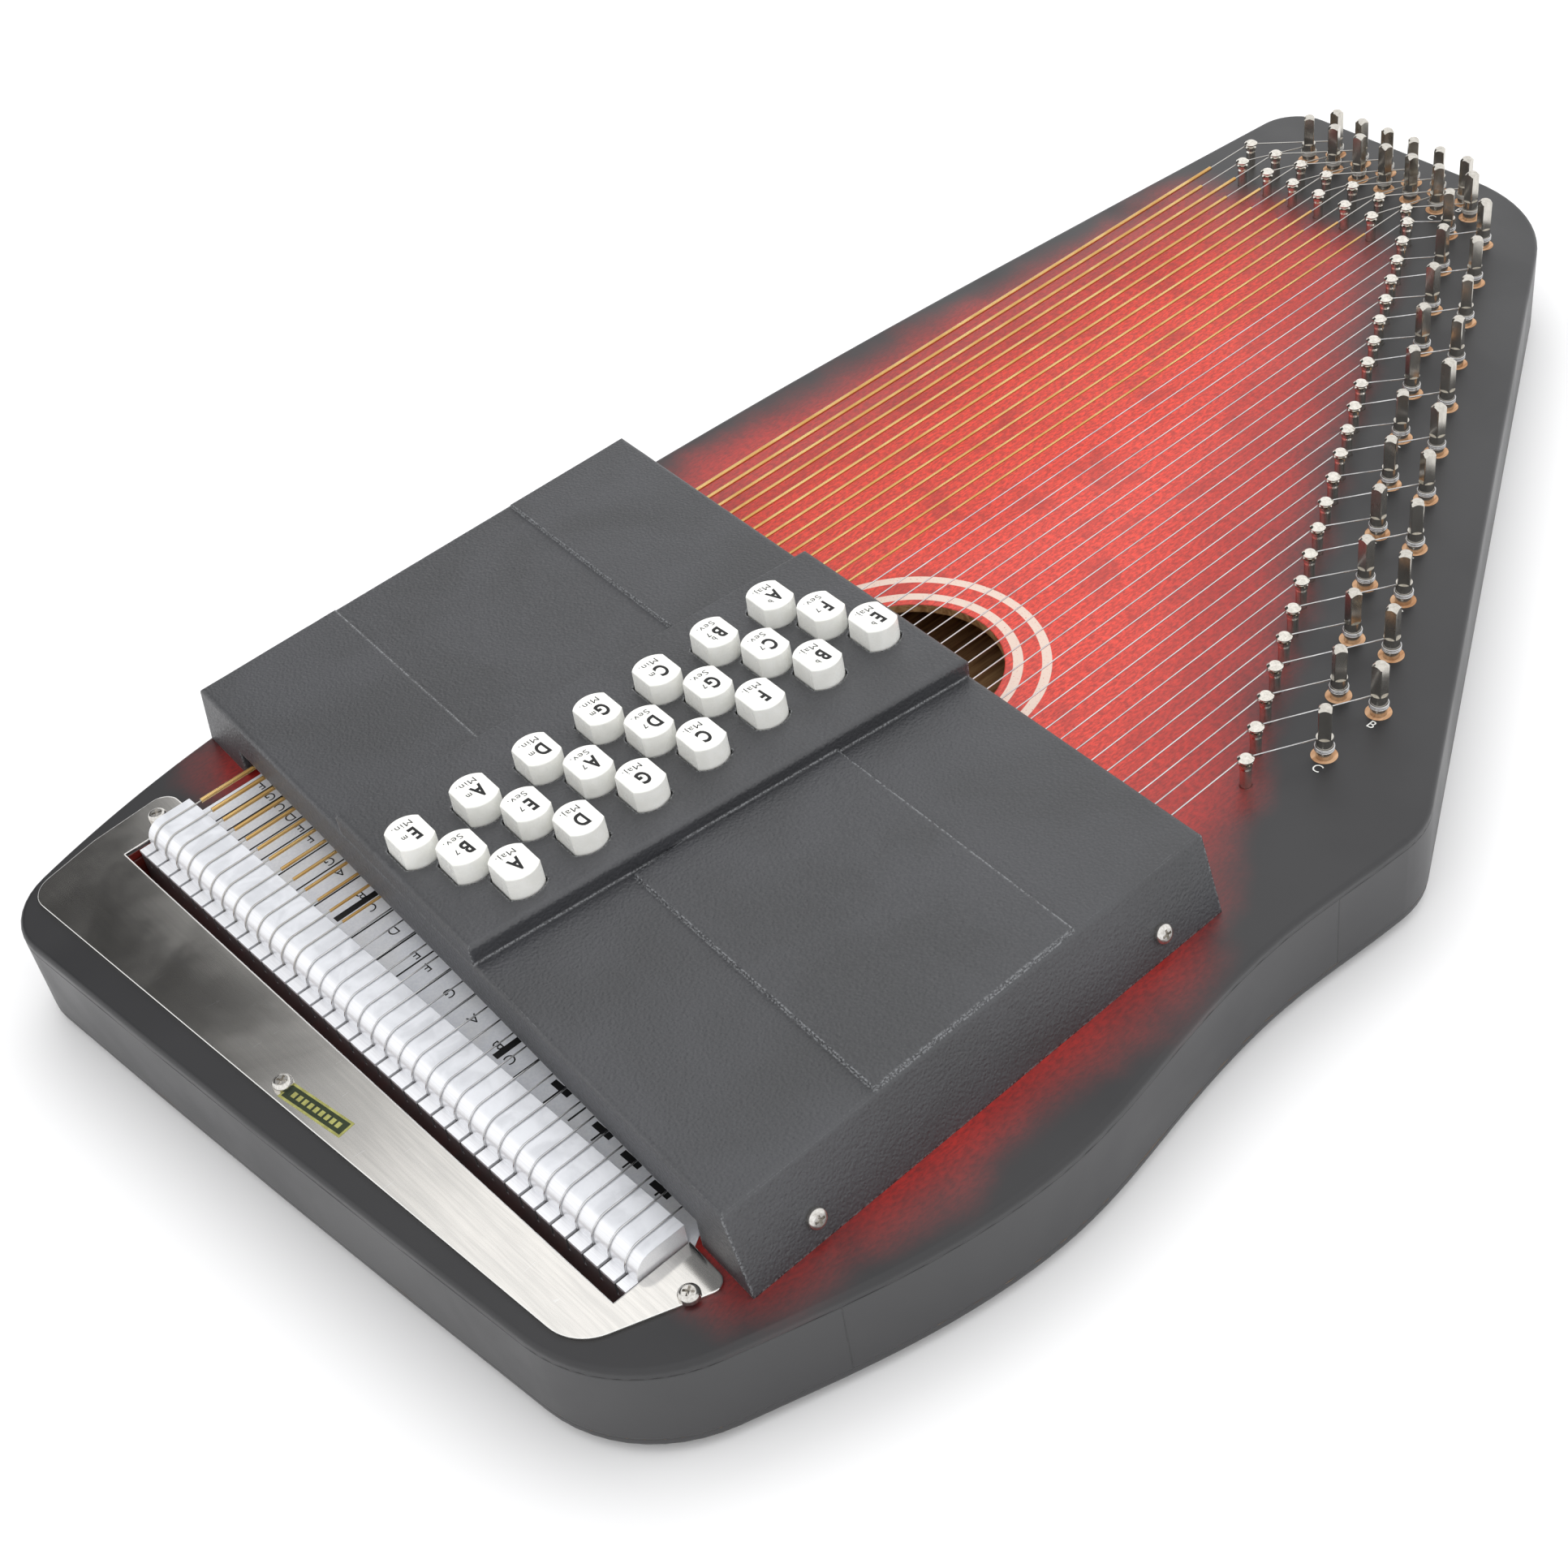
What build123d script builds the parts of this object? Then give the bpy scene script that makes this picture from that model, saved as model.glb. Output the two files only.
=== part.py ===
from build123d import *
import os
from math import asin, atan, atan2, cos, degrees, hypot, radians, sin, tan

# Chorded zither with 36 strings and 21 sprung chord bars under a moulded cover.
# Millimetres. The origin is on the soundboard's top face, under the anchor ridge and midway
# between strings 18 and 19. +X runs from the bass side to the treble side, +Y along the
# strings from the tail to the tuning pins, and +Z up.

# ---- strings and their notes
STRINGS = 36
STRING_PITCH = 6.35
WOUND_STRINGS = 13
CORE_R = 0.23
BASS_NOTES = [41, 43, 48, 50, 52, 53, 54, 55, 57, 58, 59]
NOTES = BASS_NOTES + list(range(60, 60 + STRINGS - len(BASS_NOTES)))

# ---- body
BODY_DEPTH = 31.0
BOARD = 3.0
RAIL = 10.0
EDGE_ROUND = 1.4
HOLE_CENTRE = (1.2, 192.4)
HOLE_R = 31.0
FOOT_R, FOOT_H = 7.0, 3.0

# ---- anchor bar at the tail, let into a groove
RIDGE_Z = 7.0
ANCHOR_HALF = 115.3
ANCHOR_BACK, ANCHOR_ROUND, ANCHOR_FRONT = 10.3, 5.5, -9.4
ANCHOR_FOOT = -12.5
GROOVE_FRONT = -13.6
BALL_Z, BALL_R = -4.6, 1.9

# ---- pins
GUIDE_NECK_R, GUIDE_GROOVE_Z = 1.05, 9.0
TUNER_R, TUNER_TOP = 2.45, 17.9
COIL_R = TUNER_R + CORE_R + 0.05
COIL_TURNS, COIL_PITCH, COIL_TOP = 3, 0.5, 4.2
COUNTERSINK_R = 3.75

# ---- chord bars, buttons and springs
BARS = 21
BAR_PITCH = 7.25
BAR_SLOPE = 0.08
BAR_ANGLE = degrees(atan(BAR_SLOPE))
FIRST_BAR_Y = 30.9
BAR_X = (-128.5, 124.5)
BAR_WIDE = 5.4
BAR_Z = (15.4, 21.0)
FELT_Z = 12.6
FELT_WIDE, FELT_BACKING, FELT_GAP = 4.8, 0.8, 3.6
COLUMN_X = (-19.1, -3.5, 12.1)
BUTTON_TOP = 36.7
BUTTON_R, BUTTON_BASE_R, BUTTON_FLAT = 7.05, 7.4, 5.5
BUTTON_SKIRT_Z = 25.2
SPRING_X = (-124.6, 120.6)
SPRING_R, SPRING_BORE = 2.15, 1.65
COMB_X = ((-131.0, -119.5), (115.6, 127.1))
COMB_TOP, COMB_FLOOR, COMB_WALL = 21.2, 3.0, 1.4
LUG_R, LUG_H, LUG_Y = 3.2, 2.4, (62.0, 120.0)
SLOT_WIDE = BAR_WIDE + 0.6

# ---- chord cover
COVER_X = (-142.9, 139.2)
COVER_FRONT_Y, COVER_BACK_Y = 21.4, 187.6
WING_TOP, STRIP_TOP = 24.0, 30.0
SIDE_DRAFT = 7.4
COVER_WALL = 2.2
END_WALL_FOOT = 10.0
STEP_Y = (71.0, 140.3)
STEP = 1.0
BUTTON_HOLE_GAP = 0.5

# ---- tail plate and fasteners
PLATE = 1.0
PLATE_SCREWS = [(-122.7, 1.7), (-3.0, -30.4), (127.8, 0.2)]
COVER_SCREW_Y = (44.0, 166.5)
COVER_SCREW_Z = 7.0
HEAD_R, HEAD_H, SHANK_R = 2.9, 1.9, 1.4

CHORDS = [
    ("em", "e g b"), ("b7", "b eb gb a"), ("a", "a db e"),
    ("am", "a c e"), ("e7", "e ab b d"), ("d", "d gb a"),
    ("dm", "d f a"), ("a7", "a db e g"), ("g", "g b d"),
    ("gm", "g bb d"), ("d7", "d gb a c"), ("c", "c e g"),
    ("cm", "c eb g"), ("g7", "g b d f"), ("f", "f a c"),
    ("bb7", "bb d f ab"), ("c7", "c e g bb"), ("bb", "bb d f"),
    ("ab", "ab c eb"), ("f7", "f a c eb"), ("eb", "eb g bb"),
]
NOTE_NAMES = "c db d eb e f gb g ab a bb b".split()


def string_x(k):
    return (k - (STRINGS - 1) / 2) * STRING_PITCH


def slanted_y(y_at_centre, x):
    """Y of a line parallel to the chord bars that crosses X = 0 at y_at_centre."""
    return y_at_centre - BAR_SLOPE * x


def bar_y(i, x=0.0):
    return slanted_y(FIRST_BAR_Y + BAR_PITCH * i, x)


def box(x, y, z):
    """A box between two X, two Y and two Z values."""
    size = (x[1] - x[0], y[1] - y[0], z[1] - z[0])
    return Pos((x[0] + x[1]) / 2, (y[0] + y[1]) / 2, (z[0] + z[1]) / 2) * Box(*size)


def rod(x, y, z0, z1, r):
    return Pos(x, y, (z0 + z1) / 2) * Cylinder(r, z1 - z0)


def slab(face, z0, z1):
    return Pos(0, 0, z0) * extrude(face, z1 - z0)


def outline(points):
    return make_face(Polyline(*points, close=True))


def slanted_prism(x, y, z):
    """A block with two faces along Y and two faces parallel to the chord bars."""
    corners = [(x[0], slanted_y(y[0], x[0])), (x[1], slanted_y(y[0], x[1])),
               (x[1], slanted_y(y[1], x[1])), (x[0], slanted_y(y[1], x[0]))]
    return slab(outline(corners), *z)


def save(node, *shapes):
    """Write one sub-part, made of one or more separate solids."""
    solids = [solid for shape in shapes for solid in shape.solids()]
    shape = solids[0] if len(solids) == 1 else Compound(children=solids)
    shape.label = node
    export_step(shape, f"parts/{node}.step")


# ---- body ------------------------------------------------------------------

def body_outline(d=0.0):
    """The body's plan, or the same plan moved in by d on every side.

    The bass side is slightly bowed, the pin end is angled and the treble side has a waist.
    """
    tail_bass, tail_treble = (-122.7 + d, -52.9 + d), (136.2 - d, -31.6 + d)
    pin_bass, pin_corner = (-127.0 + d, 533.2 - d), (-3.1 - 0.6 * d, 522.8 - 0.95 * d)
    shoulder = (159.6 - d, 237.7 - 0.27 * d)
    bass = [(-143.9, 34.5), (-147.2, 150), (-143.9, 288), (-137.6, 393)]
    treble = [(156.4, 183), (160.3, 136), (165.8, 91), (162.4, 55.8)]
    edges = [
        Spline(tail_bass, *[(x + d, y) for x, y in bass], pin_bass),
        Line(pin_bass, pin_corner),
        Line(pin_corner, shoulder),
        Spline(shoulder, *[(x - d, y) for x, y in treble], tail_treble,
               tangents=[(0, -1), (-0.3, -1)]),
        ThreePointArc(tail_treble, (5.5, -43.6 + d), tail_bass),
    ]
    face = make_face(edges)
    radii = {tail_bass: 24, tail_treble: 44, pin_bass: 16, pin_corner: 60, shoulder: 30}
    for corner, radius in radii.items():
        nearest = face.vertices().sort_by_distance(corner)[0]
        face = fillet(nearest, radius - 0.5 * d)
    return face


def guide_pin_place(k):
    """Two staggered rows over the bass strings, then one row along the slanted end."""
    if k <= 12:
        y = 487.0 - 0.48 * k - 12.0 * (k % 2)
    else:
        y = 473.6 - 11.3 * (k - 13) - 0.0142 * (k - 13) ** 2
    return string_x(k) + GUIDE_NECK_R + CORE_R + 0.03, y


def tuning_pin_place(k):
    """Even strings go to the far row, odd strings to the near row."""
    j, far = k // 2, k % 2 == 0
    if j < 6:
        return (-89.4 + 12.1 * j, 512.4 - 0.5 * j) if far else (-95.4 + 12.3 * j, 503.6 - 0.7 * j)
    if j == 6:
        return (-21.0, 502.3) if far else (-20.0, 487.7)
    m = j - 7
    return (-5.9 + 12.72 * m, 489.0 - 22.37 * m) if far else (-7.2 + 12.83 * m, 466.8 - 22.54 * m)


def pin_holes(r_guide, r_tuner, z0, z1):
    guides = [rod(*guide_pin_place(k), z0, z1, r_guide) for k in range(STRINGS)]
    tuners = [rod(*tuning_pin_place(k), z0, z1, r_tuner) for k in range(STRINGS)]
    return guides + tuners


def brace(inside, pin_end, y, z):
    """A bar glued across the cavity from rail to rail, or to the pin block."""
    strip = outline([(-170, y), (200, y), (200, y + 9), (-170, y + 9)])
    return slab((inside & strip) - pin_end, *z)


def make_body():
    plan = body_outline()
    inside = body_outline(RAIL)
    under_board, over_back = -BOARD, BOARD - BODY_DEPTH
    groove = box((-ANCHOR_HALF - 0.8, ANCHOR_HALF + 0.4), (GROOVE_FRONT, ANCHOR_BACK),
                 (ANCHOR_FOOT, 1.0))
    pilots = [rod(x, y, -9.0, 1.0, SHANK_R) for x, y in PLATE_SCREWS]
    pilots += [rod(x, y, -BOARD, 1.0, SHANK_R) for x, y in comb_screw_places()]

    board = slab(plan, under_board, 0)
    board = fillet(board.faces().sort_by(Axis.Z)[-1].outer_wire().edges(), EDGE_ROUND)
    board -= rod(*HOLE_CENTRE, -5, 1, HOLE_R)
    board -= pin_holes(1.7, TUNER_R, -5, 1)
    sink = Cone(COUNTERSINK_R - 0.7, COUNTERSINK_R, 0.7)
    board -= [Pos(*tuning_pin_place(k), -0.35) * sink for k in range(STRINGS)]
    board -= [groove] + pilots
    save("soundboard", board)

    back = slab(plan, -BODY_DEPTH, over_back)
    back = fillet(back.faces().sort_by(Axis.Z)[0].outer_wire().edges(), EDGE_ROUND)
    save("back_board", back)

    pin_end = outline([(-170, 455), (-40, 455), (98, 202), (200, 202), (200, 600), (-170, 600)])
    tail_end = outline([(-170, -80), (200, -80), (200, 24), (-170, 24)])
    block = slab(plan & pin_end, over_back, under_board)
    save("pin_block", block - pin_holes(1.7, TUNER_R, -22, 0))
    save("tail_block", slab(plan & tail_end, over_back, under_board) - groove - pilots)
    rails = (plan - inside) - pin_end - tail_end
    save("side_rails", slab(rails, over_back, under_board))

    braces = [brace(inside, pin_end, y, (under_board - 7, under_board)) for y in (118, 262)]
    braces += [brace(inside, pin_end, y, (over_back, over_back + 7)) for y in (85, 330)]
    save("braces", *braces)

    feet_at = [(-120, -20), (125, -5), (-108, 505), (120, 235)]
    feet = [rod(x, y, -BODY_DEPTH - FOOT_H, -BODY_DEPTH, FOOT_R) for x, y in feet_at]
    save("rubber_feet", *[fillet(f.edges().sort_by(Axis.Z)[0], 0.8) for f in feet])


# ---- tail: anchor bar, plate and note chart ----------------------------------

def anchor_profile():
    """Flat top, a rounded nose down to a ledge, and a straight front face."""
    r = ANCHOR_ROUND
    ledge = 0.2
    nose = ThreePointArc((0, RIDGE_Z), (-r * sin(radians(45)), RIDGE_Z - r + r * cos(radians(45))),
                         (-r, RIDGE_Z - r))
    rest = Polyline((-r, RIDGE_Z - r), (-r, ledge), (ANCHOR_FRONT, ledge),
                    (ANCHOR_FRONT, ANCHOR_FOOT), (ANCHOR_BACK, ANCHOR_FOOT),
                    (ANCHOR_BACK, RIDGE_Z), (0, RIDGE_Z))
    return make_face([nose, rest])


def make_tail():
    sideways = Plane((0, 0, 0), x_dir=(0, 1, 0), z_dir=(1, 0, 0))
    bar = Pos(-ANCHOR_HALF, 0, 0) * extrude(sideways * anchor_profile(), 2 * ANCHOR_HALF)
    channel_y = -ANCHOR_ROUND - CORE_R - 0.1
    channel = Pos(0, channel_y, BALL_Z) * Rot(0, 90, 0) * Cylinder(BALL_R + 0.3, 300)
    slots = [box((string_x(k) - 0.5, string_x(k) + 0.5), (ANCHOR_FRONT - 1, -ANCHOR_ROUND + 0.1),
                 (BALL_Z, 0.6)) for k in range(STRINGS)]
    save("anchor_bar", bar - [channel] - slots)

    lobe = 10.0
    notch = GROOVE_FRONT
    corners = {(-131.0, lobe): 5.5, (-129.2, -17.0): 0, (-124.0, -42.0): 9, (118.5, -28.0): 14,
               (133.0, 9.0): 3.5, (116.0, 10.3): 0, (116.0, notch): 0, (-116.4, notch): 0,
               (-116.4, lobe): 3.5}
    face = outline(list(corners))
    for corner, radius in corners.items():
        if radius:
            face = fillet(face.vertices().sort_by_distance(corner)[0], radius)
    plate = slab(face, 0, PLATE)
    save("tail_plate", plate - [rod(x, y, -1, 2, SHANK_R) for x, y in PLATE_SCREWS])

    chart = outline([(-115.5, ANCHOR_BACK), (117.5, ANCHOR_BACK), (114.0, 16.5), (104.0, 40.0),
                     (-115.5, 40.0)])
    save("note_chart", slab(chart, 0, 0.25))


# ---- pins and strings --------------------------------------------------------

def make_pins():
    head = [(0, 10.8), (1.6, 10.6), (2.4, 9.95), (2.4, 9.6), (GUIDE_NECK_R, 9.5),
            (GUIDE_NECK_R, 8.3), (1.9, 8.2), (1.9, 7.3), (1.5, 7.1), (1.7, 6.4), (1.7, -12),
            (0, -12)]
    guide = revolve(Plane.XZ * outline(head), Axis.Z)
    save("guide_pins", *[Pos(*guide_pin_place(k), 0) * guide for k in range(STRINGS)])

    flats_from, across = 7.0, 3.7
    tuner = rod(0, 0, -22, TUNER_TOP, TUNER_R)
    tuner = chamfer(tuner.edges().sort_by(Axis.Z)[-1], 0.9)
    wide = 2 * TUNER_R
    for turn in (0, 90):
        for side in (-1, 1):
            flat = Pos(0, side * (across / 2 + wide / 2), (flats_from + TUNER_TOP + 1) / 2)
            tuner -= Rot(0, 0, turn) * flat * Box(2 * wide, wide, TUNER_TOP + 1 - flats_from)
    turned = [Rot(0, 0, 37 * k % 90) * tuner for k in range(STRINGS)]
    save("tuning_pins", *[Pos(*tuning_pin_place(k), 0) * turned[k] for k in range(STRINGS)])


def string_solids(k):
    """One string from its ball end, over the ridge and past the guide pin to its tuning pin."""
    x = string_x(k)
    gx, gy = guide_pin_place(k)
    tx, ty = tuning_pin_place(k)
    bend = gx - x
    dx, dy = tx - gx, ty - gy
    heading = atan2(dy, dx) + asin((COIL_R - bend) / hypot(dx, dy))
    ux, uy = cos(heading), sin(heading)
    turn = atan2(ux, uy)
    over_ridge = ANCHOR_ROUND + CORE_R + 0.06
    anchor_z = RIDGE_Z + CORE_R + 0.06
    end = (tx - COIL_R * uy, ty + COIL_R * ux, COIL_TOP)
    corner = (x, gy + bend * tan(turn / 2), GUIDE_GROOVE_Z)
    path = FilletPolyline((x, -over_ridge, BALL_Z), (x, -over_ridge, anchor_z), corner, end,
                          radius=[over_ridge, bend])
    wire = sweep(Plane(path @ 0, z_dir=path % 0) * Circle(CORE_R), path=path)
    ball = Pos(x, -over_ridge, BALL_Z) * Rot(0, 90, 0) * Cylinder(BALL_R, 3.4)
    turns = [Pos(tx, ty, COIL_TOP - COIL_PITCH * n) * Torus(COIL_R, CORE_R)
             for n in range(1, COIL_TURNS + 1)]
    solids = [wire + ball] + turns
    if k < WOUND_STRINGS:
        first = Vector(x, 12.0, anchor_z)
        last = Vector(x, gy - 22.0, GUIDE_GROOVE_Z)
        rise = (GUIDE_GROOVE_Z - anchor_z) / (corner[1] + over_ridge)
        first.Z += rise * (first.Y + over_ridge)
        last.Z = anchor_z + rise * (last.Y + over_ridge)
        wound_r = 0.72 - 0.025 * k
        along = Plane(first, z_dir=last - first)
        ring = Circle(wound_r) - Circle(CORE_R)
        solids.append(extrude(along * ring, (last - first).length))
    return solids


def make_strings():
    plain, wound = [], []
    for k in range(STRINGS):
        (wound if k < WOUND_STRINGS else plain).extend(string_solids(k))
    save("plain_strings", *plain)
    save("wound_strings", *wound)


# ---- chord bars, buttons, holders and springs ----------------------------------

def chord_bar(i):
    """A bar across all the strings, at its place."""
    middle = (BAR_X[0] + BAR_X[1]) / 2
    length = (BAR_X[1] - BAR_X[0]) / cos(radians(BAR_ANGLE))
    height = BAR_Z[1] - BAR_Z[0]
    at = Pos(middle, bar_y(i, middle), (BAR_Z[0] + BAR_Z[1]) / 2)
    return at * Rot(0, 0, -BAR_ANGLE) * Box(length, BAR_WIDE, height)


def felt_strip(i, tones):
    """Felt under the bar, cut away over the strings that belong to the chord."""
    open_notes = [NOTE_NAMES.index(name) for name in tones.split()]
    ends = (string_x(0) - FELT_GAP, string_x(STRINGS - 1) + FELT_GAP)
    strip = Rectangle(ends[1] - ends[0], BAR_Z[0] - FELT_Z)
    middle_z = (BAR_Z[0] + FELT_Z) / 2
    gap_height = BAR_Z[0] - FELT_BACKING - FELT_Z
    for k in range(STRINGS):
        if NOTES[k] % 12 in open_notes:
            strip -= Pos(string_x(k), FELT_Z + gap_height / 2 - middle_z) * Rectangle(
                2 * FELT_GAP, gap_height)
    solid = extrude(Plane.XZ * strip, FELT_WIDE / 2, both=True)
    return Pos(0, bar_y(i), middle_z) * Rot(0, 0, -BAR_ANGLE) * solid


def button_section(grow=0.0, radius=BUTTON_R):
    """A round cut by two flats that lie parallel to the bars."""
    flats = Rectangle(4 * BUTTON_R, 2 * (BUTTON_FLAT + grow))
    return Rot(0, 0, -BAR_ANGLE) * (Circle(radius + grow) & flats)


def button_place(i):
    x = COLUMN_X[i % 3]
    return x, bar_y(i, x)


def chord_button(i):
    cap = loft([Pos(0, 0, BUTTON_SKIRT_Z) * button_section(radius=BUTTON_BASE_R),
                Pos(0, 0, BUTTON_TOP) * button_section()])
    cap = fillet(cap.faces().sort_by(Axis.Z)[-1].edges(), 0.4)
    foot = Rot(0, 0, -BAR_ANGLE) * box((-4.5, 4.5), (-2.6, 2.6), (BAR_Z[1], BUTTON_SKIRT_Z))
    return Pos(*button_place(i), 0) * (cap + foot)


def comb_screw_places():
    """Two wood screws hold each comb down, through lugs on its outer side."""
    return [(x, y) for x in (COMB_X[0][0] - LUG_R, COMB_X[1][1] + LUG_R) for y in LUG_Y]


def make_holders():
    first, last = FIRST_BAR_Y, FIRST_BAR_Y + BAR_PITCH * (BARS - 1)
    combs = []
    for side, (low, high) in zip((-1, 1), COMB_X):
        comb = slanted_prism((low, high), (first - 4.6, last + 4.6), (0, COMB_TOP))
        slot_x = (low + COMB_WALL, high + 2) if side < 0 else (low - 2, high - COMB_WALL)
        half = SLOT_WIDE / 2 / cos(radians(BAR_ANGLE))
        for i in range(BARS):
            y = FIRST_BAR_Y + BAR_PITCH * i
            comb -= slanted_prism(slot_x, (y - half, y + half), (COMB_FLOOR, COMB_TOP + 1))
        for y in COVER_SCREW_Y:
            wall = cover_side_x(side, COVER_SCREW_Z + 4.0)[1] - side * 0.3
            reach = sorted((high if side > 0 else low, wall))
            boss_y = slanted_y(y, wall)
            comb += box(reach, (boss_y - 4, boss_y + 4), (1.5, COVER_SCREW_Z + 4.0))
            comb -= cover_screw(side, y, SHANK_R, 12.0)
        for y in LUG_Y:
            lug_x = (low - LUG_R, low + 1) if side < 0 else (high - 1, high + LUG_R)
            end = low - LUG_R if side < 0 else high + LUG_R
            comb += box(lug_x, (y - LUG_R, y + LUG_R), (0, LUG_H)) + rod(end, y, 0, LUG_H, LUG_R)
            comb -= rod(end, y, -1, LUG_H + 1, SHANK_R)
        combs.append(comb)
    save("bar_holders", *combs)


def make_springs():
    """Each coil spring is drawn as the tube that its coils fill."""
    ends = (COMB_FLOOR, BAR_Z[0])
    spring = rod(0, 0, *ends, SPRING_R) - rod(0, 0, *ends, SPRING_BORE)
    places = [(x, bar_y(i, x)) for i in range(BARS) for x in SPRING_X]
    save("bar_springs", *[Pos(*place, 0) * spring for place in places])


# ---- cover -----------------------------------------------------------------------

def cover_side_x(side, z):
    """Outer and inner X of the cover's drafted side wall at height z."""
    inset = SIDE_DRAFT * z / WING_TOP
    outer = COVER_X[0] + inset if side < 0 else COVER_X[1] - inset
    return outer, outer - side * COVER_WALL


def cover_block(inset, z_top):
    """The cover's wing block between its drafted side walls, from the soundboard to z_top."""
    front, back = COVER_FRONT_Y + inset, COVER_BACK_Y - inset
    sections = []
    for z in (0.0, z_top):
        low = cover_side_x(-1, z)[0] + inset
        high = cover_side_x(1, z)[0] - inset
        corners = [(low, slanted_y(front, low)), (high, slanted_y(front, high)),
                   (high, slanted_y(back, high)), (low, slanted_y(back, low))]
        sections.append(Pos(0, 0, z) * outline(corners))
    return loft(sections)


def strip_face(inset):
    """The raised button strip, which widens a little towards the tuning pins."""
    front, back = COVER_FRONT_Y + inset, COVER_BACK_Y - inset
    corners = [(-49.0 + inset, front), (22.8 - inset, front),
               (41.0 - inset, back), (-35.0 + inset, back)]
    return outline([(x, slanted_y(y, x)) for x, y in corners])


def make_cover():
    strip = slab(strip_face(0.3), WING_TOP - 1, STRIP_TOP)
    shell = fillet(cover_block(0, WING_TOP).faces().sort_by(Axis.Z)[-1].edges(), 1.4)
    strip = fillet(strip.faces().sort_by(Axis.Z)[-1].edges(), 1.6)
    low, high = STEP_Y
    shell += slanted_prism((30.0, COVER_X[1] - SIDE_DRAFT - 0.7), STEP_Y,
                           (WING_TOP - 1, WING_TOP + STEP))
    shell -= slanted_prism((-150.0, -40.0), STEP_Y, (WING_TOP - STEP, WING_TOP + 2))
    shell += strip
    shell -= cover_block(COVER_WALL, WING_TOP - COVER_WALL)
    shell -= slab(strip_face(COVER_WALL + 0.6), 5, STRIP_TOP - COVER_WALL)
    strings_between = (string_x(0) - 7.5, string_x(STRINGS - 1) + 7.5)
    shell -= box(strings_between, (-20, 240), (-1, END_WALL_FOOT))
    hole = button_section(grow=BUTTON_HOLE_GAP, radius=BUTTON_BASE_R)
    shell -= [Pos(*button_place(i), STRIP_TOP - 6) * extrude(hole, 8) for i in range(BARS)]
    for side in (-1, 1):
        for y in COVER_SCREW_Y:
            shell -= cover_screw(side, y, SHANK_R + 0.1, 12.0)
    save("chord_cover", shell)


# ---- fasteners --------------------------------------------------------------------

def cover_screw_place(side, y):
    """A frame on the drafted side wall, its Z square to the wall and pointing outwards."""
    outer = cover_side_x(side, COVER_SCREW_Z)[0]
    lean = degrees(atan(SIDE_DRAFT / WING_TOP))
    return Pos(outer, slanted_y(y, outer), COVER_SCREW_Z) * Rot(0, side * (90 - lean), 0)


def cover_screw(side, y, r, length):
    """The shank's space for a screw square to the drafted side wall."""
    return cover_screw_place(side, y) * Pos(0, 0, -length / 2) * Cylinder(r, length)


def pan_screw(length):
    """A pan head screw, its head's underside at Z = 0, with a cross recess."""
    head = Pos(0, 0, HEAD_H / 2) * Cylinder(HEAD_R, HEAD_H)
    head = fillet(head.edges().sort_by(Axis.Z)[-1], 1.2)
    shank = Pos(0, 0, -length / 2) * Cylinder(SHANK_R, length)
    cross = Box(0.75, 3.1, 2.2) + Box(3.1, 0.75, 2.2)
    return head + shank - Pos(0, 0, HEAD_H) * cross


def make_screws():
    short, long = pan_screw(8.0), pan_screw(9.5)
    screws = [Pos(x, y, PLATE) * Rot(0, 0, 20 * x) * short for x, y in PLATE_SCREWS]
    screws += [Pos(x, y, LUG_H) * pan_screw(LUG_H + BOARD - 0.2) for x, y in comb_screw_places()]
    screws += [cover_screw_place(side, y) * long for side in (-1, 1) for y in COVER_SCREW_Y]
    save("screws", *screws)


os.makedirs("parts", exist_ok=True)
make_body()
make_tail()
make_pins()
make_strings()
make_holders()
make_springs()
make_cover()
make_screws()
for number, (chord, chord_tones) in enumerate(CHORDS):
    save(f"chord_bar_{chord}", chord_bar(number), felt_strip(number, chord_tones))
    save(f"button_{chord}", chord_button(number))
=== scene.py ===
import math

import bmesh
import bpy
from mathutils import Matrix, Vector


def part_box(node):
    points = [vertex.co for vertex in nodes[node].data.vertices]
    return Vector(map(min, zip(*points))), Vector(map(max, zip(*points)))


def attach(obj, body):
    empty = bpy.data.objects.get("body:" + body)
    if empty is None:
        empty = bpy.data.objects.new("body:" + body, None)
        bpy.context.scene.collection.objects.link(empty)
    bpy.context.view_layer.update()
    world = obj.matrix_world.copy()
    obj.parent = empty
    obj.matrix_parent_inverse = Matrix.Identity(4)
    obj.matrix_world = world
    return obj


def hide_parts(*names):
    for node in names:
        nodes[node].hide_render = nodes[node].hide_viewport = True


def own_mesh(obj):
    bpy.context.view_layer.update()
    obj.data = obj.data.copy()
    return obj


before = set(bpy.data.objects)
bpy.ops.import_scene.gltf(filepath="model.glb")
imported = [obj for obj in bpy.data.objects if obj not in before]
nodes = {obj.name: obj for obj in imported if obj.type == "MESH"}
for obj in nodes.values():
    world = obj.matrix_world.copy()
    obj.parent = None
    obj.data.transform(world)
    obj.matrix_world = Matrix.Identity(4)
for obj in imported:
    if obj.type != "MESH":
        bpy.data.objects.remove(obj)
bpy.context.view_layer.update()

STRING_PITCH = 6.35
MIDDLE_STRING = 17.5  # between strings 17 and 18 of 0 to 35
PRINT_RISE = 0.02  # of a button legend above its button
STICKER_CORNER, STICKER_TURN = (-1.2, -30.9, 0), math.radians(7.6)

chords = [name[len("chord_bar_"):] for name in nodes if name.startswith("chord_bar_")]

# The board frame: millimetres from the soundboard's top, under the anchor ridge, midway across.
anchor_low, anchor_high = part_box("anchor_bar")
ORIGIN = Vector(((anchor_low.x + anchor_high.x) / 2, anchor_high.y - 0.0103, anchor_high.z - 0.007))


def at(x, y, z=0.0):
    """A point given in the board frame, in the row frame."""
    return ORIGIN + Vector((x, y, z)) / 1000


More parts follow.
